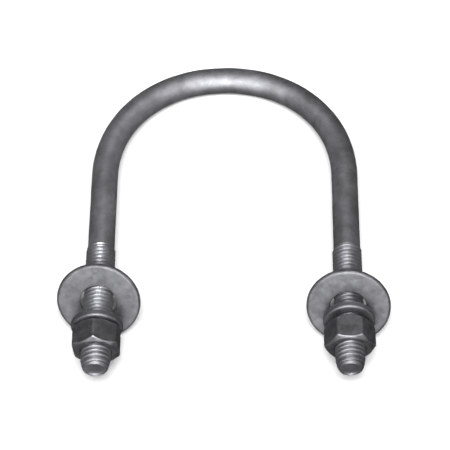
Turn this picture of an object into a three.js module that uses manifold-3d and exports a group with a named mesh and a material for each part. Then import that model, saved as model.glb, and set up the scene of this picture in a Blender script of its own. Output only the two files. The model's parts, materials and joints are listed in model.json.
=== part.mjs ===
// A galvanised U-bolt lying on the ground, with a flat washer, a split lock washer and a hex nut on each leg.
// Millimetres, +Z up, the ground at z = 0. The bow points along +Y and the threaded legs along -Y.
//
// The bolt is built in its own plane: x across the legs, y towards the bow, the centre of the bend at the origin.
// Each leg has a frame of its own, whose z runs along the leg, away from the bow, from the start of the bend,
// and whose y points up. Washers and nuts are placed by their distance along that z.
import * as THREE from "three";
import { mergeVertices } from "three/addons/utils/BufferGeometryUtils.js";
import Module from "manifold-3d";

// ---- Driving dimensions ------------------------------------------------------------------------------------

const LEG_SPACING = 106.4; // between the leg centre lines
const LEG_LENGTH = 100.6; // from the start of the bend to the tip
const BOW_HEIGHT = 54.95; // from the start of the bend to the centre line at its top
const BOW_FULLNESS = 2.09; // 2 is an ellipse, and more fills out the shoulders
const LIE_ANGLE = 4.72; // degrees: the legs rest in the leaning washers, so they rise away from the bow

// Half-inch coarse thread, rolled, so that its crests stand above the plain shank.
const SHANK_RADIUS = 5.78;
const THREAD_RADIUS = 6.35;
const ROOT_RADIUS = 5.2;
const PITCH = 25.4 / 13;
const CREST_WIDTH = 0.25;
const RUN_IN = 1.2; // over which the crests grow from the shank
const RUN_OUT = 2.6; // over which the grooves reach full depth

// Tapered tip of each leg, as radius and distance back from the end. The end is cupped by the thread rolling.
const TIP = [
  [THREAD_RADIUS + 0.1, 5.2],
  [6.0, 3.1],
  [5.65, 1.6],
  [5.2, 0.6],
  [4.9, 0.1],
  [4.55, 0],
  [4.3, 0.1],
  [4.0, 0.7],
  [0, 0.7],
];

const NUT = {
  flats: 19.05,
  thickness: 11.3,
  chamferRadius: 8.8,
  chamferSlope: Math.tan(THREE.MathUtils.degToRad(35)),
  boreRadius: 5.6, // at the crests of the inner thread
  grooveRadius: 6.62, // at the bottom of its grooves
  grooveWidth: 0.55,
  countersinkRadius: 7.0,
};

const FLAT_WASHER = { radius: 17.9, hole: 7.75, thickness: 2.0, edge: 0.35 };

const LOCK_WASHER = {
  radius: 11.05,
  hole: 6.75,
  thickness: 2.95,
  innerThickness: 3.05, // the section is a little thicker at the hole
  rise: 0.2, // from one end of the split ring to the other
  gap: 9, // degrees left open at the split
  slant: 0.045, // radians of turn per mm along the axis, which slopes the cut
};

// Where the pieces of each leg sit, as distances along it. Turns and leans are in degrees. The lean tips a
// washer's top towards the bow, and the swing turns its outer face sideways, about the upright line.
const LEGS = {
  left: {
    side: -1,
    threadStart: 39.4,
    flatWasher: { along: 66.25, across: 0.05, lean: 26, swing: -3.9 },
    lockWasher: { along: 78.95, lean: 0, split: -60 },
    nut: { along: 86.35, turn: 93.6 },
  },
  right: {
    side: 1,
    threadStart: 40.1,
    flatWasher: { along: 69.4, across: -0.1, lean: 25, swing: -3.8 },
    lockWasher: { along: 76.35, lean: 6.5, split: -30 },
    nut: { along: 85.0, turn: 61.5 },
  },
};

// How finely round shapes are divided.
const THREAD_SIDES = 18;
const ROD_SIDES = 24;
const BEND_STEPS = 36;
const WASHER_SIDES = 48;
const LOCK_STEPS = 36;

// ---- Looks -------------------------------------------------------------------------------------------------

const galvanised = (color, roughness) =>
  new THREE.MeshStandardMaterial({ color, roughness, metalness: 0.85 });
const ROD_FINISH = galvanised(0x6e7074, 0.5);
const WASHER_FINISH = galvanised(0x8b8c90, 0.48);
const LOCK_FINISH = galvanised(0x66686c, 0.5);
const NUT_FINISH = galvanised(0x5a5b5f, 0.52);

// ---- Solids ------------------------------------------------------------------------------------------------

const wasm = await Module();
wasm.setup();

// The geometry as one welded solid. Faces that shrink to a line, such as those at a lathe's axis, are dropped.
function solidOf(geometry) {
  const bare = geometry.index ? geometry.toNonIndexed() : geometry.clone();
  for (const name of Object.keys(bare.attributes))
    if (name !== "position") bare.deleteAttribute(name);
  const welded = mergeVertices(bare, 1e-4);
  const corners = welded.index.array;
  const faces = [];
  for (let i = 0; i < corners.length; i += 3) {
    const [a, b, c] = corners.slice(i, i + 3);
    if (a !== b && b !== c && c !== a) faces.push(a, b, c);
  }
  return new wasm.Manifold(
    new wasm.Mesh({
      numProp: 3,
      vertProperties: welded.attributes.position.array,
      triVerts: new Uint32Array(faces),
    }),
  );
}

function geometryOf(solid) {
  const mesh = solid.getMesh();
  const geometry = new THREE.BufferGeometry();
  geometry.setAttribute(
    "position",
    new THREE.Float32BufferAttribute(mesh.vertProperties, 3),
  );
  geometry.setIndex(Array.from(mesh.triVerts));
  return geometry;
}

function meshBody(points, faces) {
  const geometry = new THREE.BufferGeometry();
  geometry.setAttribute("position", new THREE.Float32BufferAttribute(points.flat(), 3));
  geometry.setIndex(faces.flat());
  return geometry;
}

// A solid of revolution about z. The profile is a list of [radius, z] from the low end to the high end.
function turned(profile, sides) {
  const points = profile.map(([radius, z]) => new THREE.Vector2(radius, z));
  return new THREE.LatheGeometry(points, sides).rotateX(Math.PI / 2);
}

// A closed body through equal rings of points, each ring given anticlockwise as seen from the last ring.
// The flat ends are closed by fans about their middles.
function skinned(rings) {
  const sides = rings[0].length;
  const points = rings.flat();
  const faces = [];
  for (let i = 0; i + 1 < rings.length; i++)
    for (let j = 0; j < sides; j++) {
      const a = i * sides + j;
      const b = i * sides + ((j + 1) % sides);
      faces.push([a, b, b + sides], [a, b + sides, a + sides]);
    }
  const last = (rings.length - 1) * sides;
  const middle = (ring) =>
    [0, 1, 2].map((k) => ring.reduce((sum, p) => sum + p[k], 0) / sides);
  const first = points.push(middle(rings[0])) - 1;
  const final = points.push(middle(rings.at(-1))) - 1;
  for (let j = 0; j < sides; j++) {
    const next = (j + 1) % sides;
    faces.push([first, next, j], [final, last + j, last + next]);
  }
  return meshBody(points, faces);
}

// A bar with a right-hand thread along z, from a turn before low to a turn past high. Going along z, each turn
// is a flat crest and two flanks that meet at the root. A crest crosses the x axis wherever z is a whole
// number of pitches.
function threadedBar({ crest, root, crestWidth, low, high }) {
  const firstTurn = Math.floor(low / PITCH) - 1;
  const steps = (Math.ceil(high / PITCH) + 1 - firstTurn) * THREAD_SIDES;
  const section = [
    [crest, -crestWidth / 2],
    [crest, crestWidth / 2],
    [root, PITCH / 2],
  ];
  const points = [];
  for (let i = 0; i <= steps + THREAD_SIDES; i++) {
    const angle = (2 * Math.PI * i) / THREAD_SIDES;
    for (const [radius, rise] of section)
      points.push([
        radius * Math.cos(angle),
        radius * Math.sin(angle),
        PITCH * (firstTurn + i / THREAD_SIDES) + rise,
      ]);
  }
  // Corner k of step i; the corner after a turn's last is the next turn's first.
  const corner = (i, k) => (k < 3 ? 3 * i + k : 3 * (i + THREAD_SIDES));
  const faces = [];
  for (let i = 0; i < steps; i++)
    for (let k = 0; k < 3; k++)
      faces.push(
        [corner(i, k), corner(i + 1, k), corner(i + 1, k + 1)],
        [corner(i, k), corner(i + 1, k + 1), corner(i, k + 1)],
      );
  // Each end is a fan about the axis, over one turn of the helix and the step that joins its two ends.
  const bottom = points.push([0, 0, PITCH * (firstTurn + 0.5)]) - 1;
  const top = points.push([0, 0, PITCH * (firstTurn + steps / THREAD_SIDES + 0.5)]) - 1;
  for (let i = 0; i < THREAD_SIDES; i++)
    faces.push(
      [bottom, corner(i + 1, 0), corner(i, 0)],
      [top, corner(steps + i, 0), corner(steps + i + 1, 0)],
    );
  for (let k = 0; k < 3; k++)
    faces.push(
      [bottom, corner(0, k), corner(0, k + 1)],
      [top, corner(steps, k + 1), corner(steps, k)],
    );
  return meshBody(points, faces);
}

// ---- The U-bolt --------------------------------------------------------------------------------------------

// The threaded length of a leg, in the leg's frame, with its tapered tip.
function legThread(threadStart) {
  const bar = threadedBar({
    crest: THREAD_RADIUS,
    root: ROOT_RADIUS,
    crestWidth: CREST_WIDTH,
    low: threadStart,
    high: LEG_LENGTH,
  });
  const outline = turned(
    [
      [0, threadStart],
      [SHANK_RADIUS - 0.3, threadStart],
      [THREAD_RADIUS + 0.1, threadStart + RUN_IN],
      ...TIP.map(([radius, back]) => [radius, LEG_LENGTH - back]),
    ],
    2 * THREAD_SIDES,
  );
  return solidOf(bar).intersect(solidOf(outline));
}

// A point of the bend's centre line, at a turn from the left leg. The bend begins at 0 and ends at pi.
function bendPoint(turn) {
  const across = Math.cos(turn);
  const up = Math.sin(turn);
  const reach = Math.abs(across) ** BOW_FULLNESS + Math.abs(up) ** BOW_FULLNESS;
  const size = reach ** (-1 / BOW_FULLNESS);
  return [(-across * size * LEG_SPACING) / 2, up * size * BOW_HEIGHT];
}

function bendHeading(turn) {
  const [x0, y0] = bendPoint(turn - 0.01);
  const [x1, y1] = bendPoint(turn + 0.01);
  return Math.atan2(y1 - y0, x1 - x0);
}

// A ring of the rod's section. The centre line's heading is an angle in the plane of the bolt.
function rodRing(x, y, heading, radius) {
  const ring = [];
  for (let j = 0; j < ROD_SIDES; j++) {
    const angle = (2 * Math.PI * j) / ROD_SIDES;
    const out = radius * Math.cos(angle);
    ring.push([
      x + out * Math.sin(heading),
      y - out * Math.cos(heading),
      -radius * Math.sin(angle),
    ]);
  }
  return ring;
}

// The plain rod, from inside the left thread, up the left leg, round the bend and down to the right thread.
function plainRod() {
  const half = LEG_SPACING / 2;
  const core = ROOT_RADIUS - 0.15;
  const up = Math.PI / 2;
  const { left, right } = LEGS;
  const rings = [
    rodRing(-half, -left.threadStart - RUN_OUT, up, core),
    rodRing(-half, -left.threadStart, up, SHANK_RADIUS),
  ];
  for (let i = 0; i <= BEND_STEPS; i++) {
    const turn = (Math.PI * i) / BEND_STEPS;
    rings.push(rodRing(...bendPoint(turn), bendHeading(turn), SHANK_RADIUS));
  }
  rings.push(
    rodRing(half, -right.threadStart, -up, SHANK_RADIUS),
    rodRing(half, -right.threadStart - RUN_OUT, -up, core),
  );
  return skinned(rings);
}

// The leg's frame in the plane of the bolt.
function legMatrix({ side }) {
  return new THREE.Matrix4()
    .makeTranslation((side * LEG_SPACING) / 2, 0, 0)
    .multiply(new THREE.Matrix4().makeRotationX(Math.PI / 2));
}

function uBolt() {
  let body = solidOf(plainRod());
  for (const leg of Object.values(LEGS)) {
    const thread = geometryOf(legThread(leg.threadStart)).applyMatrix4(legMatrix(leg));
    body = body.add(solidOf(thread));
  }
  return geometryOf(body);
}

// ---- Washers and nuts, each about its own middle, with its axis along z -----------------------------------

function flatWasher() {
  const { radius, hole, thickness, edge } = FLAT_WASHER;
  const top = thickness / 2;
  return turned(
    [
      [hole, -top],
      [radius - edge, -top],
      [radius, edge - top],
      [radius, top - edge],
      [radius - edge, top],
      [hole, top],
      [hole, -top],
    ],
    WASHER_SIDES,
  );
}

// A split ring whose section climbs a little from one end to the other, with a sloping cut between them.
function lockWasher(split) {
  const { radius, hole, thickness, innerThickness, rise, gap, slant } = LOCK_WASHER;
  const outer = thickness / 2;
  const inner = innerThickness / 2;
  const section = [
    [hole, -inner],
    [hole, inner],
    [radius - 0.4, outer],
    [radius, outer - 0.4],
    [radius, 0.4 - outer],
    [radius - 0.4, -outer],
  ];
  const rings = [];
  for (let i = 0; i <= LOCK_STEPS; i++) {
    const share = i / LOCK_STEPS;
    const turn = THREE.MathUtils.degToRad(split + gap / 2 + share * (360 - gap));
    const lift = rise * (share - 0.5);
    rings.push(
      section.map(([r, z]) => {
        const angle = turn + slant * z;
        return [r * Math.cos(angle), r * Math.sin(angle), z + lift];
      }),
    );
  }
  return skinned(rings);
}

// A hexagon chamfered at both ends, cut through by its thread and countersunk. The thread is turned so that
// the nut fits the leg's helix at its distance along the leg.
function hexNut({ along, turn }) {
  const { flats, thickness, chamferRadius, chamferSlope, boreRadius } = NUT;
  const end = thickness / 2;
  const cornerRadius = flats / Math.sqrt(3);
  const prism = new THREE.CylinderGeometry(cornerRadius, cornerRadius, thickness, 6)
    .rotateX(Math.PI / 2)
    .rotateZ(THREE.MathUtils.degToRad(turn));
  const widest = cornerRadius + 1;
  const shoulder = end - (widest - chamferRadius) * chamferSlope;
  const blank = turned(
    [
      [0, -end],
      [chamferRadius, -end],
      [widest, -shoulder],
      [widest, shoulder],
      [chamferRadius, end],
      [0, end],
    ],
    WASHER_SIDES,
  );
  const grooves = threadedBar({
    crest: NUT.grooveRadius,
    root: boreRadius,
    crestWidth: NUT.grooveWidth,
    low: -end,
    high: end,
  }).rotateZ((2 * Math.PI * along) / PITCH);
  // Two cones, widest just past each face of the nut, joined by a core that lies inside the thread.
  const core = boreRadius - 0.5;
  const mouth = NUT.countersinkRadius + 0.5;
  const depth = (mouth - core) * chamferSlope;
  const countersinks = turned(
    [
      [0, -end - 0.3],
      [mouth, -end - 0.3],
      [core, -end - 0.3 + depth],
      [core, end + 0.3 - depth],
      [mouth, end + 0.3],
      [0, end + 0.3],
    ],
    2 * THREAD_SIDES,
  );
  const body = solidOf(prism)
    .intersect(solidOf(blank))
    .subtract(solidOf(grooves))
    .subtract(solidOf(countersinks));
  return geometryOf(body);
}

// ---- The assembly ------------------------------------------------------------------------------------------

function piece(name, geometry, material) {
  const mesh = new THREE.Mesh(geometry, material);
  mesh.name = name;
  return mesh;
}

function legHardware(name, leg) {
  const { flatWasher: lying, lockWasher: lock, nut } = leg;
  const group = new THREE.Group();
  group.applyMatrix4(legMatrix(leg));

  const washer = piece(`flat_washer_${name}`, flatWasher(), WASHER_FINISH);
  washer.position.set(lying.across, 0, lying.along);
  washer.rotation.set(
    THREE.MathUtils.degToRad(-lying.lean),
    THREE.MathUtils.degToRad(lying.swing),
    0,
    "YXZ",
  );

  const ring = piece(`lock_washer_${name}`, lockWasher(lock.split), LOCK_FINISH);
  ring.position.z = lock.along;
  ring.rotation.x = THREE.MathUtils.degToRad(-lock.lean);

  const hexagon = piece(`hex_nut_${name}`, hexNut(nut), NUT_FINISH);
  hexagon.position.z = nut.along;

  group.add(washer, ring, hexagon);
  return group;
}

function assembly() {
  const bolt = new THREE.Group();
  bolt.rotation.x = THREE.MathUtils.degToRad(-LIE_ANGLE);
  bolt.add(piece("u_bolt", uBolt(), ROD_FINISH));
  for (const [name, leg] of Object.entries(LEGS)) bolt.add(legHardware(name, leg));

  // Rest it on the ground, centred over the origin.
  const box = new THREE.Box3().setFromObject(bolt, true);
  const centre = box.getCenter(new THREE.Vector3());
  bolt.position.set(-centre.x, -centre.y, -box.min.z);

  const group = new THREE.Group();
  group.add(bolt);
  return group;
}

export default assembly();
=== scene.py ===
"""The looks of a galvanised U-bolt with a flat washer, a lock washer and a hex nut on each leg.

Every visible piece is a fine mesh, computed here in millimetres, that stands for one coarse CAD
node: the rolled threads with rounded crests, the chamfered nuts, the stamped washers and the split
spring rings, each with its zinc skin's unevenness in the mesh itself. A leg's own frame has z along
the leg, away from the bow, from the start of the bend, and y upwards. It is found from the hinge
that each nut turns on.
"""
import json
import math

import bpy
import numpy as np
from mathutils import Matrix, Vector


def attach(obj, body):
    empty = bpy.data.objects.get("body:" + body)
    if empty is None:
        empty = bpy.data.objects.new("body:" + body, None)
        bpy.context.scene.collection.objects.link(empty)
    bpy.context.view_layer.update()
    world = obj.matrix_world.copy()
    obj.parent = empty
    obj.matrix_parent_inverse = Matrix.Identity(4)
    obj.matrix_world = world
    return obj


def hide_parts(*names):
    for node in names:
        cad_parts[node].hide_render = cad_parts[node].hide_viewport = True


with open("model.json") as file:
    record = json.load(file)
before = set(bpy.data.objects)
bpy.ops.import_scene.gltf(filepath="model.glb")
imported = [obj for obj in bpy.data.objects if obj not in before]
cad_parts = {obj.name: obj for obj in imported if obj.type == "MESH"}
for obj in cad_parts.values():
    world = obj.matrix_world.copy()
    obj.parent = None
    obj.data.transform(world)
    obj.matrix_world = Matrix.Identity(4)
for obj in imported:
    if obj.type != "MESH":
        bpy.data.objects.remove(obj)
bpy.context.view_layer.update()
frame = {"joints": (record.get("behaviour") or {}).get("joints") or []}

MM = 0.001
TURN = 2 * math.pi

# ---- Driving dimensions, in millimetres, as in the CAD part --------------------------------------

LEG_SPACING = 106.4
LEG_LENGTH = 100.6
BOW_HEIGHT = 54.95
BOW_FULLNESS = 2.09  # 2 is an ellipse, and more fills out the shoulders
SHANK_RADIUS = 5.78
CREST_RADIUS = 6.35
ROOT_RADIUS = 5.2
PITCH = 25.4 / 13
FLANK_SLOPE = math.sqrt(3)  # the flanks of a 60-degree thread
CREST_FLAT = 0.34
THREAD_BLEND = 0.16  # over which crests and roots are rounded
RUN_IN = 1.2  # over which the crests grow from the shank
RUN_OUT = 2.6  # over which the grooves reach full depth
THREAD_START = {"left": 39.4, "right": 40.1}
SIDE = {"left": -1, "right": 1}

NUT_ALONG = {"left": 86.35, "right": 85.0}
NUT_TURN = {"left": 93.6, "right": 61.5}
NUT_FLATS = 19.05
NUT_THICKNESS = 11.3
NUT_CHAMFER_RADIUS = 8.8
NUT_CHAMFER_SLOPE = math.tan(math.radians(35))
NUT_BORE_RADIUS = 5.6
NUT_GROOVE_RADIUS = 6.62
NUT_GROOVE_FLAT = 0.6
NUT_COUNTERSINK_RADIUS = 7.0

# Places are distances along the leg and across it. Leans, swings and splits are in degrees.
FLAT_WASHER = {"radius": 17.9, "hole": 7.75, "thickness": 2.0}
FLAT_WASHER_PLACE = {
    "left": {"along": 66.25, "across": 0.05, "lean": 26, "swing": -3.9},
    "right": {"along": 69.4, "across": -0.1, "lean": 25, "swing": -3.8},
}

LOCK_WASHER = {
    "radius": 11.05,
    "hole": 6.75,
    "thickness": 2.95,
    "rise": 0.2,  # from one end of the split ring to the other
    "gap": 9.0,  # degrees left open at the split
    "slant": 0.045,  # radians of turn per millimetre along the axis, which slopes the cut
}
LOCK_WASHER_PLACE = {
    "left": {"along": 78.95, "lean": 0, "split": -60},
    "right": {"along": 76.35, "lean": 6.5, "split": -30},
}

# ---- Mesh building -------------------------------------------------------------------------------


def smooth_min(a, b, blend):
    """The smaller of a and b, rounded over where they meet within about blend of each other."""
    mix = np.clip(0.5 + 0.5 * (b - a) / blend, 0, 1)
    return b * (1 - mix) + a * mix - blend * mix * (1 - mix)


def smooth_max(a, b, blend):
    return -smooth_min(-a, -b, blend)


def ripples(points, size, seed, waves=24):
    """Smooth random unevenness of about -1 to 1 at each point, in bumps about size across."""
    draw = np.random.default_rng(seed)
    directions = draw.normal(size=(waves, 3))
    directions /= np.linalg.norm(directions, axis=1)[:, None]
    rates = TURN / (size * draw.uniform(0.7, 1.8, waves))
    phases = draw.uniform(0, TURN, waves)
    flat = points.reshape(-1, 3)
    total = np.zeros(len(flat))
    for direction, rate, phase in zip(directions, rates, phases):
        total += np.cos(flat @ direction * rate + phase)
    return (total / math.sqrt(waves)).reshape(points.shape[:-1])


def grid_faces(rows, columns, wrap_rows):
    """Quads over a grid of points whose columns close on themselves, and whose rows do too if
    wrap_rows."""
    i = np.arange(rows if wrap_rows else rows - 1)[:, None]
    j = np.arange(columns)[None, :]
    below, above = i * columns, (i + 1) % rows * columns
    after = (j + 1) % columns
    quads = np.stack([below + j, below + after, above + after, above + j], axis=-1)
    return quads.reshape(-1, 4)


def fan_faces(ring, middle):
    """Triangles from a ring of point numbers to one point."""
    return np.stack([np.roll(ring, -1), ring, np.full(len(ring), middle)], axis=-1)


def signed_volume(points, faces):
    total = 0.0
    for face in faces:
        for k in range(1, face.shape[1] - 1):
            a, b, c = points[face[:, 0]], points[face[:, k]], points[face[:, k + 1]]
            total += np.einsum("ij,ij->", a, np.cross(b, c)) / 6
    return total


def make_piece(name, points, faces, marks):
    """A smooth-shaded object from points in millimetres, with its faces turned outwards. Each of
    marks becomes a number on every point, for the materials to read."""
    if signed_volume(points, faces) < 0:
        faces = [face[:, ::-1] for face in faces]
    mesh = bpy.data.meshes.new(name)
    mesh.vertices.add(len(points))
    mesh.vertices.foreach_set("co", (points * MM).astype(np.float32).ravel())
    corners = np.concatenate([face.ravel() for face in faces]).astype(np.int32)
    sizes = np.concatenate([np.full(len(face), face.shape[1]) for face in faces])
    starts = np.concatenate([[0], np.cumsum(sizes)[:-1]]).astype(np.int32)
    mesh.loops.add(len(corners))
    mesh.loops.foreach_set("vertex_index", corners)
    mesh.polygons.add(len(starts))
    mesh.polygons.foreach_set("loop_start", starts)
    mesh.update(calc_edges=True)
    mesh.shade_smooth()
    for mark, values in marks.items():
        layer = mesh.attributes.new(mark, "FLOAT", "POINT")
        layer.data.foreach_set("value", np.asarray(values, np.float32).ravel())
    piece = bpy.data.objects.new(name, mesh)
    bpy.context.scene.collection.objects.link(piece)
    return piece


def rounded_outline(corners, closed, steps=5):
    """The points of an outline whose corners are [x, y, radius], with each corner turned by an arc
    of its radius."""
    count = len(corners)
    outline = []
    for k, (x, y, radius) in enumerate(corners):
        here = np.array([x, y], float)
        if radius == 0 or (not closed and k in (0, count - 1)):
            outline.append(here)
            continue
        before = np.array(corners[k - 1][:2], float) - here
        after = np.array(corners[(k + 1) % count][:2], float) - here
        before /= np.linalg.norm(before)
        after /= np.linalg.norm(after)
        half = math.acos(np.clip(before @ after, -1, 1)) / 2
        middle = (before + after) / np.linalg.norm(before + after)
        centre = here + middle * radius / math.sin(half)
        first = here + before * radius / math.tan(half) - centre
        last = here + after * radius / math.tan(half) - centre
        sweep = math.pi - 2 * half
        sign = math.copysign(1, first[0] * last[1] - first[1] * last[0])
        for step in range(steps + 1):
            angle = sign * sweep * step / steps
            turned = [
                first[0] * math.cos(angle) - first[1] * math.sin(angle),
                first[0] * math.sin(angle) + first[1] * math.cos(angle),
            ]
            outline.append(centre + turned)
    return np.array(outline)


def divided(outline, closed, longest):
    """The outline with its long stretches cut into steps of at most the longest length."""
    points = []
    count = len(outline)
    for k in range(count if closed else count - 1):
        start, end = outline[k], outline[(k + 1) % count]
        pieces = max(1, math.ceil(np.linalg.norm(end - start) / longest))
        points += [start + (end - start) * n / pieces for n in range(pieces)]
    if not closed:
        points.append(outline[-1])
    return np.array(points)


# ---- Frames --------------------------------------------------------------------------------------

joints = {joint["name"]: joint for joint in frame["joints"]}


def leg_axes(name):
    """The leg's frame: its origin in millimetres, then its x, y and z directions, as rows."""
    hinge = joints["nut_turn_" + name]
    z = -np.array(hinge["axis"], float)
    z /= np.linalg.norm(z)
    x = np.array([1.0, 0.0, 0.0])
    y = np.cross(z, x)
    origin = np.array(hinge["pos_m"], float) / MM - z * NUT_ALONG[name]
    return origin, np.array([x, y, z])


def in_leg(name, points):
    origin, axes = leg_axes(name)
    return origin + points @ axes


# ---- The U-bolt ----------------------------------------------------------------------------------

BOLT_COLUMNS = 76
ROWS_PER_PITCH = 14
PLAIN_ROWS = 36
NO_LIMIT = 99.0  # a radius greater than any on the bar
CUP_RADIUS = 4.3  # of the hollow in the end of each leg
PLAIN_WEAR = 0.55
LEFT_PALENESS = 0.15  # how much paler the left leg is painted than the middle of the bow, and the right leg darker

# The tapered, cupped tip's outline, as radius, distance along the leg and the corner's rounding.
TIP_CORNERS = [
    [CREST_RADIUS + 0.1, LEG_LENGTH - 5.2, 0],
    [6.0, LEG_LENGTH - 3.0, 2.0],
    [5.45, LEG_LENGTH - 1.0, 0.7],
    [4.8, LEG_LENGTH, 0.3],
    [4.45, LEG_LENGTH, 0.15],
    [4.05, LEG_LENGTH - 0.75, 0.25],
    [0.25, LEG_LENGTH - 0.75, 0],
]


def thread_radius(along, angle, crest, root, flat, blend):
    """The radius of a right-hand thread whose crests cross the x axis at whole pitches along z.
    Flat is the width of its crests, and blend rounds them and the roots."""
    turns = along / PITCH - angle / TURN
    from_crest = np.abs(turns - np.round(turns)) * PITCH
    flank = crest - (from_crest - flat / 2) * FLANK_SLOPE
    return smooth_max(smooth_min(flank, crest, blend), root, blend)


def leg_radius(name, along, angle):
    """The rod's radius anywhere on a leg short of its tip."""
    start = THREAD_START[name]
    thread = thread_radius(along, angle, CREST_RADIUS, ROOT_RADIUS, CREST_FLAT, THREAD_BLEND)
    growth = CREST_RADIUS - SHANK_RADIUS + 0.15
    grown = SHANK_RADIUS - 0.1 + (along - start) / RUN_IN * growth
    cut = SHANK_RADIUS - (along - start) / RUN_OUT * (SHANK_RADIUS - ROOT_RADIUS)
    threaded = smooth_max(smooth_min(thread, grown, 0.15), cut, 0.1)
    return np.where(along < start - 0.2, SHANK_RADIUS, threaded)


def leg_rows(name):
    """Rows of (distance along the leg, greatest radius), from the middle of the tip to the start
    of the bend."""
    tip = divided(rounded_outline(TIP_CORNERS, closed=False), closed=False, longest=0.14)[::-1]
    step = PITCH / ROWS_PER_PITCH
    rows = [(along, radius) for radius, along in tip]
    threaded = np.arange(rows[-1][0] - step, THREAD_START[name] - 1, -step)
    plain = np.linspace(THREAD_START[name] - 1.5, 0, PLAIN_ROWS)[:-1]
    rows += [(along, NO_LIMIT) for along in [*threaded, *plain]]
    return np.array(rows)


def bolt_ring_angles():
    return np.arange(BOLT_COLUMNS) * TURN / BOLT_COLUMNS


def leg_rings(name):
    """Rings of points from the tip to the bend, with how worn and how threaded each point is."""
    rows = leg_rows(name)
    along, limit = rows[:, :1], rows[:, 1:]
    outward = bolt_ring_angles()[None, :]
    # A ring starts on the side away from the other leg, so the left leg's angle runs the other way.
    angle = outward if SIDE[name] > 0 else math.pi - outward
    radius = smooth_min(leg_radius(name, along, angle), limit + 0 * angle, 0.12)
    threaded = along + 0 * angle > THREAD_START[name]
    root_shade_height = np.clip((radius - ROOT_RADIUS) / (CREST_RADIUS - ROOT_RADIUS), 0, 1)
    # The thread is cleanest near the shank and dullest outside the nut. Its roots are painted
    # darker than its crests, as painted shade.
    clean = 0.3 * np.clip((60 - along) / 5, 0, 1) - 0.15 * np.clip((along - 88) / 4, 0, 1)
    wear_and_painted_light = np.where(threaded, 0.25 + 0.25 * root_shade_height + clean, PLAIN_WEAR)
    # The cupped end is painted dark, as painted shade in its hollow.
    wear_and_painted_light = np.where(limit < CUP_RADIUS, 0.0, wear_and_painted_light)
    # Over the last few turns the thread's brighter tone fades out.
    threaded = threaded * np.clip((LEG_LENGTH - 1 - along) / 9, 0, 1)
    local = np.stack([radius * np.cos(angle), radius * np.sin(angle), along + 0 * angle], axis=-1)
    return in_leg(name, local), wear_and_painted_light, threaded


def bend_line(turn):
    """The bend's centre line at each turn from the left leg, across the legs and into the bow."""
    across, up = np.cos(turn), np.sin(turn)
    size = (np.abs(across) ** BOW_FULLNESS + np.abs(up) ** BOW_FULLNESS) ** (-1 / BOW_FULLNESS)
    return np.stack([-across * size * LEG_SPACING / 2, up * size * BOW_HEIGHT], axis=-1)


def bend_rings(steps=140):
    """Rings round the bend, from the left leg to the right one."""
    left, axes = leg_axes("left")
    right, _ = leg_axes("right")
    turn = np.arange(1, steps) * math.pi / steps
    line = bend_line(turn)
    heading = bend_line(turn + 0.01) - bend_line(turn - 0.01)
    heading /= np.linalg.norm(heading, axis=1)[:, None]
    plane = np.array([axes[0], -axes[2]])
    middle = ((left + right) / 2 + line @ plane)[:, None, :]
    out = (np.stack([-heading[:, 1], heading[:, 0]], axis=-1) @ plane)[:, None, :]
    ring = bolt_ring_angles()[None, :, None]
    return middle + SHANK_RADIUS * (out * np.cos(ring) + axes[1] * np.sin(ring))


def u_bolt():
    left, left_wear, left_thread = leg_rings("left")
    right, right_wear, right_thread = leg_rings("right")
    bend = bend_rings()
    plain = np.full(bend.shape[:2], PLAIN_WEAR)
    rings = np.concatenate([left, bend, right[::-1]])
    wear_and_painted_light = np.concatenate([left_wear, plain, right_wear[::-1]])
    # The bar is painted paler towards the left leg and darker towards the right one.
    wear_and_painted_light = wear_and_painted_light - LEFT_PALENESS * rings[..., 0] / (LEG_SPACING / 2)
    thread = np.concatenate([left_thread, plain * 0, right_thread[::-1]])

    # The zinc skin: long shallow waves and small lumps, both fainter on the threads.
    middle = rings.mean(axis=1, keepdims=True)
    lumps = 0.035 * ripples(rings, 9, seed=1) + 0.008 * ripples(rings, 2.2, seed=2)
    lumps = lumps * np.where(thread > 0.5, 0.45, 1.0)
    reach = np.linalg.norm(rings - middle, axis=2, keepdims=True)
    rings = middle + (rings - middle) * (1 + lumps[..., None] / np.maximum(reach, 1))

    rows, columns = rings.shape[:2]
    points = np.concatenate([rings.reshape(-1, 3), middle[0], middle[-1]])
    count = rows * columns
    faces = [
        grid_faces(rows, columns, wrap_rows=False),
        fan_faces(np.arange(columns), count),
        fan_faces(np.arange(count - columns, count)[::-1], count + 1),
    ]
    ends = np.full(2, 0.5)
    marks = {
        "wear_and_painted_light": np.concatenate([wear_and_painted_light.ravel(), ends]),
        "thread": np.concatenate([thread.ravel(), ends * 0]),
    }
    return make_piece("bolt", points, faces, marks)


# ---- Nuts ----------------------------------------------------------------------------------------


def hexagon_radius(angle, turn):
    """A hexagon's radius at each angle, with its corners a little rounded."""
    sharpness = 46
    total = 0
    for k in range(3):
        facing = np.abs(np.cos(angle - math.radians(turn + 30 + 60 * k)))
        total = total + (facing / (NUT_FLATS / 2)) ** sharpness
    return total ** (-1 / sharpness)


def nut_columns(turn, per_side=26):
    """Angles round a nut, closer together towards its corners."""
    crowding = 1.8
    t = np.linspace(-1, 1, per_side, endpoint=False)
    within = 30 * np.sign(t) * (1 - (1 - np.abs(t)) ** crowding)
    middles = turn + 30 + 60 * np.arange(6)[:, None]
    return np.radians(middles + within).ravel()


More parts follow.
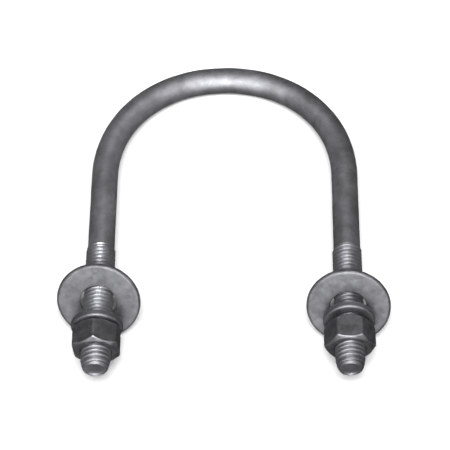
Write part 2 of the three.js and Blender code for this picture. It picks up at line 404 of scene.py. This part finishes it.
def hex_nut(name):
    end = NUT_THICKNESS / 2
    angle = nut_columns(NUT_TURN[name])[None, :]
    slope = NUT_CHAMFER_SLOPE
    widest = 12.5  # past the hexagon's corners, so that the hexagon alone forms the sides
    below = 0.4  # how far the section runs under the crests of the inner thread
    mouth = end - (NUT_COUNTERSINK_RADIUS - NUT_BORE_RADIUS + below) * slope
    shoulder = end - (widest - NUT_CHAMFER_RADIUS) * slope
    outside = [
        [NUT_CHAMFER_RADIUS, -end, 0.3],
        [widest, -shoulder, 0],
        [widest, shoulder, 0],
        [NUT_CHAMFER_RADIUS, end, 0.3],
        [NUT_COUNTERSINK_RADIUS, end, 0.25],
        [NUT_BORE_RADIUS - below, mouth, 0],
        [NUT_BORE_RADIUS - below, -mouth, 0],
        [NUT_COUNTERSINK_RADIUS, -end, 0.25],
    ]
    section = divided(rounded_outline(outside, closed=True), closed=True, longest=0.17)
    radius, along = section[:, :1], section[:, 1:]
    is_bore = radius < NUT_COUNTERSINK_RADIUS - 0.3
    hexagon = hexagon_radius(angle, NUT_TURN[name])
    outer = smooth_min(radius + 0 * angle, hexagon, 0.4)
    grooves = thread_radius(
        NUT_ALONG[name] + along,
        angle,
        NUT_GROOVE_RADIUS,
        NUT_BORE_RADIUS,
        NUT_GROOVE_FLAT,
        THREAD_BLEND,
    )
    inner = smooth_max(grooves, radius + 0 * angle, 0.12)
    surface = np.where(is_bore, inner, outer)

    local = np.stack(
        [surface * np.cos(angle), surface * np.sin(angle), along + 0 * angle], axis=-1
    )
    lumps = 0.045 * ripples(local, 6, seed=11 + SIDE[name]) + 0.02 * ripples(local, 1.8, seed=14)
    lumps = np.where(is_bore, 0, lumps)
    local[..., :2] *= (1 + lumps / surface)[..., None]
    local[..., 2] += np.where(is_bore, 0, 0.03 * ripples(local, 5, seed=17 + SIDE[name]))

    # The chamfers are painted a little darker than the flats, as painted shade. The edge between
    # them is painted bright, a painted highlight, most of all at the corners.
    corner = np.clip((surface - NUT_FLATS / 2 * 1.05) / 0.5, 0, 1)
    chamfer_shade = np.clip((hexagon - radius) / 0.3, 0, 1) * (radius > NUT_COUNTERSINK_RADIUS)
    edge_glint = np.exp(-(((radius - hexagon) / 0.35) ** 2))
    wear_and_painted_light = np.clip(0.4 - 0.06 * chamfer_shade + 0.35 * edge_glint + 0.4 * edge_glint * corner, 0, 1)
    local[..., 2] += NUT_ALONG[name]
    rows, columns = surface.shape
    return make_piece(
        "nut_" + name,
        in_leg(name, local.reshape(-1, 3)),
        [grid_faces(rows, columns, wrap_rows=True)],
        {"wear_and_painted_light": wear_and_painted_light, "thread": 1.0 * is_bore + 0 * angle},
    )


# ---- Washers -------------------------------------------------------------------------------------


def flat_washer(name, columns=180):
    """A stamped washer: its outer face has rolled-over edges, and its inner face sharper ones."""
    radius, hole, thickness = (FLAT_WASHER[k] for k in ("radius", "hole", "thickness"))
    top = thickness / 2
    corners = [
        [hole, -top, 0.25],
        [radius, -top, 0.3],
        [radius, top, 1.2],
        [hole, top, 0.5],
    ]
    section = divided(rounded_outline(corners, closed=True), closed=True, longest=0.4)
    angle = np.arange(columns)[None, :] * TURN / columns
    reach, rise = section[:, :1], section[:, 1:]
    flat = np.stack([reach * np.cos(angle), reach * np.sin(angle), rise + 0 * angle], axis=-1)
    seed = 20 + SIDE[name]
    out_of_round = 0.04 * ripples(flat, 14, seed=seed)
    flat[..., :2] *= (1 + out_of_round / reach)[..., None]
    skin = 0.035 * ripples(flat, 7, seed=seed + 4) + 0.012 * ripples(flat, 1.6, seed=seed + 8)
    flat[..., 2] += skin * np.sign(rise)
    # The outer rim is painted paler, a painted highlight along its edge, and the hole's edge paler
    # too.
    rim_highlight = np.clip((reach - radius + 0.8) / 0.8, 0, 1)
    bore = np.clip((hole + 0.6 - reach) / 0.6, 0, 1)
    wear_and_painted_light = 0.4 + 0.3 * (rim_highlight + bore) + 0 * angle

    place = FLAT_WASHER_PLACE[name]
    lean = Matrix.Rotation(math.radians(-place["lean"]), 3, "X")
    swing = Matrix.Rotation(math.radians(place["swing"]), 3, "Y")
    local = flat.reshape(-1, 3) @ np.array(swing @ lean).T
    local = local + [place["across"], 0, place["along"]]
    rows = len(section)
    return make_piece(
        "washer_" + name,
        in_leg(name, local),
        [grid_faces(rows, columns, wrap_rows=True)],
        {"wear_and_painted_light": wear_and_painted_light, "thread": 0 * wear_and_painted_light},
    )


def lock_washer(name, steps=200):
    """A split spring ring whose ends stand apart and are cut on a slope."""
    ring = LOCK_WASHER
    top = ring["thickness"] / 2
    corners = [
        [ring["hole"], -top, 0.3],
        [ring["radius"], -top, 0.7],
        [ring["radius"], top, 0.9],
        [ring["hole"], top, 0.3],
    ]
    section = divided(rounded_outline(corners, closed=True), closed=True, longest=0.35)
    middle = section.mean(axis=0)
    place = LOCK_WASHER_PLACE[name]

    # The stations along the ring, each with how much its section shrinks to round the cut's edges.
    cut_share = np.array([0.0, 0.0006, 0.0016])
    cut_shrink = np.array([0.93, 0.97, 0.99])
    whole_share = np.linspace(0, 1, steps)[2:-2]
    share = np.concatenate([cut_share, whole_share, 1 - cut_share[::-1]])
    shrink = np.concatenate([cut_shrink, np.ones(len(whole_share)), cut_shrink[::-1]])

    outline = middle + (section[None] - middle) * shrink[:, None, None]
    reach, rise = outline[..., 0], outline[..., 1]
    first = math.radians(place["split"] + ring["gap"] / 2)
    turn = first + share[:, None] * math.radians(360 - ring["gap"])
    angle = turn + ring["slant"] * rise
    lift = ring["rise"] * (share[:, None] - 0.5)
    local = np.stack([reach * np.cos(angle), reach * np.sin(angle), rise + lift], axis=-1)
    seed = 40 + SIDE[name]
    local += 0.02 * ripples(local, 4, seed=seed)[..., None] * [0, 0, 1]
    # The outer edge is painted a little paler, a faint painted highlight.
    wear_and_painted_light = 0.4 + 0.1 * np.clip((reach - ring["radius"] + 0.7) / 0.7, 0, 1)
    lean = np.array(Matrix.Rotation(math.radians(-place["lean"]), 3, "X"))
    local = local @ lean.T + [0, 0, place["along"]]

    rows, columns = local.shape[:2]
    ends = [local[0].mean(axis=0), local[-1].mean(axis=0)]
    points = np.concatenate([local.reshape(-1, 3), ends])
    count = rows * columns
    faces = [
        grid_faces(rows, columns, wrap_rows=False),
        fan_faces(np.arange(columns), count),
        fan_faces(np.arange(count - columns, count)[::-1], count + 1),
    ]
    wear_and_painted_light = np.concatenate([wear_and_painted_light.ravel(), [0.4, 0.4]])
    marks = {"wear_and_painted_light": wear_and_painted_light, "thread": 0 * wear_and_painted_light}
    return make_piece("lock_ring_" + name, in_leg(name, points), faces, marks)


# ---- Materials -----------------------------------------------------------------------------------


class Shader:
    """A few short words for building a node material."""

    def __init__(self, name):
        self.material = bpy.data.materials.new(name)
        self.material.use_nodes = True
        self.nodes = self.material.node_tree.nodes
        self.links = self.material.node_tree.links
        self.surface = self.nodes["Principled BSDF"]

    def node(self, kind, settings=None, **inputs):
        made = self.nodes.new("ShaderNode" + kind)
        for key, value in (settings or {}).items():
            setattr(made, key, value)
        for key, value in inputs.items():
            self.feed(made.inputs[key.replace("_", " ")], value)
        return made

    def feed(self, socket, value):
        if isinstance(value, bpy.types.NodeSocket):
            self.links.new(value, socket)
        else:
            socket.default_value = value

    def maths(self, operation, a, b):
        made = self.node("Math", {"operation": operation})
        self.feed(made.inputs[0], a)
        self.feed(made.inputs[1], b)
        return made.outputs[0]

    def span(self, value, low, high, start=0.0, end=1.0):
        """Value, from start to end, stretched to low to high."""
        made = self.node("MapRange")
        limits = {"From Min": start, "From Max": end, "To Min": low, "To Max": high}
        for key, number in limits.items():
            made.inputs[key].default_value = number
        self.feed(made.inputs["Value"], value)
        return made.outputs["Result"]

    def noise(self, size, detail=3.0, roughness=0.5):
        """Noise in blotches about size millimetres across, in the piece's own coordinates."""
        made = self.node(
            "TexNoise",
            Vector=self.place,
            Scale=1 / (size * MM),
            Detail=detail,
            Roughness=roughness,
        )
        return made.outputs["Fac"]


def zinc(name, dark, light, roughness, patch, cell_contrast, edge_light):
    """Hot-dip zinc: spangle cells, cloudy patches and fine speckle between a dark and a light grey,
    paler and smoother where the wear mark is high, and brighter on threads. The wear mark holds
    painted highlights and painted shade besides wear."""
    s = Shader(name)
    s.place = s.node("TexCoord").outputs["Object"]
    wear_and_painted_light = s.node("Attribute", {"attribute_name": "wear_and_painted_light"}).outputs["Fac"]
    thread = s.node("Attribute", {"attribute_name": "thread"}).outputs["Fac"]

    clouds = s.noise(patch, detail=4.0, roughness=0.6)
    speckle = s.noise(0.5, detail=2.0)
    # The spangle's cells have wandering borders, a couple of millimetres apart.
    wander_size, wander, cell_size = 3, 0.0018, 2.2
    bend = s.node("TexNoise", Vector=s.place, Scale=1 / (wander_size * MM), Detail=2.0)
    shifted = s.node("VectorMath", {"operation": "MULTIPLY_ADD"})
    s.feed(shifted.inputs[0], bend.outputs["Color"])
    shifted.inputs[1].default_value = (wander,) * 3
    s.feed(shifted.inputs[2], s.place)
    cells = s.node(
        "TexVoronoi",
        {"feature": "SMOOTH_F1"},
        Vector=shifted.outputs[0],
        Scale=1 / (cell_size * MM),
        Smoothness=0.5,
    )
    spangle = s.node("SeparateColor", Color=cells.outputs["Color"]).outputs["Red"]

    tone = s.span(clouds, 0.075, 0.475, 0.3, 0.7)
    tone = s.maths("ADD", tone, s.span(spangle, 0.15 - cell_contrast, 0.15 + cell_contrast))
    tone = s.maths("ADD", tone, s.maths("MULTIPLY", s.span(speckle, 0.0, 1.0, 0.3, 0.7), 0.15))
    # The wear mark paints its highlights and shade into the tone, along with the wear.
    worn_and_lit_tone = s.span(wear_and_painted_light, -edge_light / 2, edge_light / 2)
    tone = s.maths("ADD", tone, worn_and_lit_tone)
    tone = s.maths("ADD", tone, s.maths("MULTIPLY", thread, 0.15))
    ramp = s.node("ValToRGB", Fac=tone)
    ramp.color_ramp.elements[0].color = (*dark, 1)
    ramp.color_ramp.elements[1].color = (*light, 1)
    s.feed(s.surface.inputs["Base Color"], ramp.outputs["Color"])

    gloss = s.span(clouds, roughness - 0.04, roughness + 0.03, 0.3, 0.7)
    gloss = s.maths("SUBTRACT", gloss, s.maths("MULTIPLY", spangle, cell_contrast * 0.3))
    gloss = s.maths("SUBTRACT", gloss, s.maths("MULTIPLY", thread, 0.08))
    gloss = s.maths("SUBTRACT", gloss, s.span(wear_and_painted_light, 0.0, 0.15, 0.65, 1.0))
    s.feed(s.surface.inputs["Roughness"], gloss)
    s.surface.inputs["Metallic"].default_value = 0.98

    fine_grain = s.maths("MULTIPLY", s.noise(0.35, detail=2.0), 0.5)
    grain = s.maths("ADD", fine_grain, s.noise(1.6, detail=3.0))
    grain = s.maths("MULTIPLY", grain, s.span(thread, 1.0, 0.6))
    bump = s.node("Bump", Height=grain, Strength=0.25, Distance=0.05 * MM)
    s.feed(s.surface.inputs["Normal"], bump.outputs["Normal"])
    return s.material


def floor_finish():
    s = Shader("floor_paint")
    s.place = s.node("TexCoord").outputs["Object"]
    tone = s.span(s.noise(40, detail=3.0), 0.9, 0.93)
    colour = s.node("CombineColor", Red=tone, Green=tone, Blue=tone)
    s.feed(s.surface.inputs["Base Color"], colour.outputs[0])
    s.surface.inputs["Roughness"].default_value = 0.9
    s.surface.inputs["Specular IOR Level"].default_value = 0.0
    return s.material


# ---- Stage ---------------------------------------------------------------------------------------


def floor():
    half, z = 1600.0, -0.05
    points = np.array([[-half, -half, z], [half, -half, z], [half, half, z], [-half, half, z]])
    mesh = bpy.data.meshes.new("floor")
    mesh.from_pydata([tuple(p * MM) for p in points], [], [(0, 1, 2, 3)])
    made = bpy.data.objects.new("floor", mesh)
    bpy.context.scene.collection.objects.link(made)
    mesh.materials.append(floor_finish())
    # The pale ground takes shadows but throws no light back up, so the bolt's sides stay dark.
    made.visible_diffuse = False
    made.visible_glossy = False


def looking_from(azimuth, elevation):
    """The direction out from the object at an azimuth, counted from -Y, and an elevation, both in
    degrees."""
    a, e = math.radians(azimuth), math.radians(elevation)
    return Vector((math.sin(a) * math.cos(e), -math.cos(a) * math.cos(e), math.sin(e)))


def camera():
    data = bpy.data.cameras.new("camera")
    data.sensor_width = 36
    data.lens = 160
    data.clip_start, data.clip_end = 0.05, 10
    made = bpy.data.objects.new("camera", data)
    bpy.context.scene.collection.objects.link(made)
    target = Vector((0.41, -6.396, 12.157)) * MM
    azimuth, elevation, roll_angle, distance = 2.08, 59.2, -2.0, 874
    back = looking_from(azimuth, elevation)
    made.location = target + back * distance * MM
    roll = Matrix.Rotation(math.radians(roll_angle), 4, back)
    turned = (-back).to_track_quat("-Z", "Y").to_matrix().to_4x4()
    made.rotation_mode = "QUATERNION"
    made.rotation_quaternion = (roll @ turned).to_quaternion()
    bpy.context.scene.camera = made


def soft_light(name, azimuth, elevation, distance, size, power, reflected):
    """A panel of light facing the object. If reflected, it's seen only in reflections, and
    otherwise never in them."""
    data = bpy.data.lights.new(name, "AREA")
    data.shape = "ELLIPSE"
    data.size, data.size_y = size
    data.energy = power
    made = bpy.data.objects.new(name, data)
    bpy.context.scene.collection.objects.link(made)
    made.visible_glossy = reflected
    made.visible_diffuse = not reflected
    back = looking_from(azimuth, elevation)
    made.location = back * distance
    made.rotation_mode = "QUATERNION"
    made.rotation_quaternion = (-back).to_track_quat("-Z", "Y")


def studio():
    world = bpy.data.worlds.new("studio")
    world.use_nodes = True
    background = world.node_tree.nodes["Background"]
    background.inputs["Color"].default_value = (1, 1, 1, 1)
    background.inputs["Strength"].default_value = 0.06
    bpy.context.scene.world = world
    # The broad overhead light falls on the ground, and the others are what the metal reflects.
    away = 1.2
    soft_light("overhead", 0, 72, away, size=(1.1, 0.65), power=28, reflected=False)
    soft_light("front", -4, 50, away, size=(0.6, 0.95), power=8.7, reflected=True)
    soft_light("top", 0, 88, away, size=(0.9, 0.9), power=2.0, reflected=True)
    soft_light("low", 0, 16, away, size=(1.2, 0.6), power=3.0, reflected=True)
    view = bpy.context.scene.view_settings
    view.view_transform = "Standard"
    view.look = "None"


# ---- Putting it together -------------------------------------------------------------------------


def stands_for(piece, node, material):
    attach(piece, node)
    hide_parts(node)
    piece.data.materials.append(material)


rod_zinc = zinc(
    "rod_zinc",
    dark=(0.3, 0.302, 0.319),
    light=(0.94, 0.946, 0.998),
    roughness=0.57,
    patch=9,
    cell_contrast=0.08,
    edge_light=0.7,
)
washer_zinc = zinc(
    "washer_zinc",
    dark=(0.25, 0.252, 0.266),
    light=(0.6, 0.604, 0.636),
    roughness=0.6,
    patch=4,
    cell_contrast=0.15,
    edge_light=0.6,
)
lock_zinc = zinc(
    "lock_zinc",
    dark=(0.22, 0.222, 0.234),
    light=(0.6, 0.604, 0.637),
    roughness=0.56,
    patch=5,
    cell_contrast=0.1,
    edge_light=0.5,
)
nut_zinc = zinc(
    "nut_zinc",
    dark=(0.19, 0.191, 0.201),
    light=(0.65, 0.655, 0.69),
    roughness=0.54,
    patch=5,
    cell_contrast=0.1,
    edge_light=1.2,
)

camera()
floor()
studio()
stands_for(u_bolt(), "u_bolt", rod_zinc)
for leg in SIDE:
    stands_for(flat_washer(leg), "flat_washer_" + leg, washer_zinc)
    stands_for(lock_washer(leg), "lock_washer_" + leg, lock_zinc)
    stands_for(hex_nut(leg), "hex_nut_" + leg, nut_zinc)

bpy.context.view_layer.update()
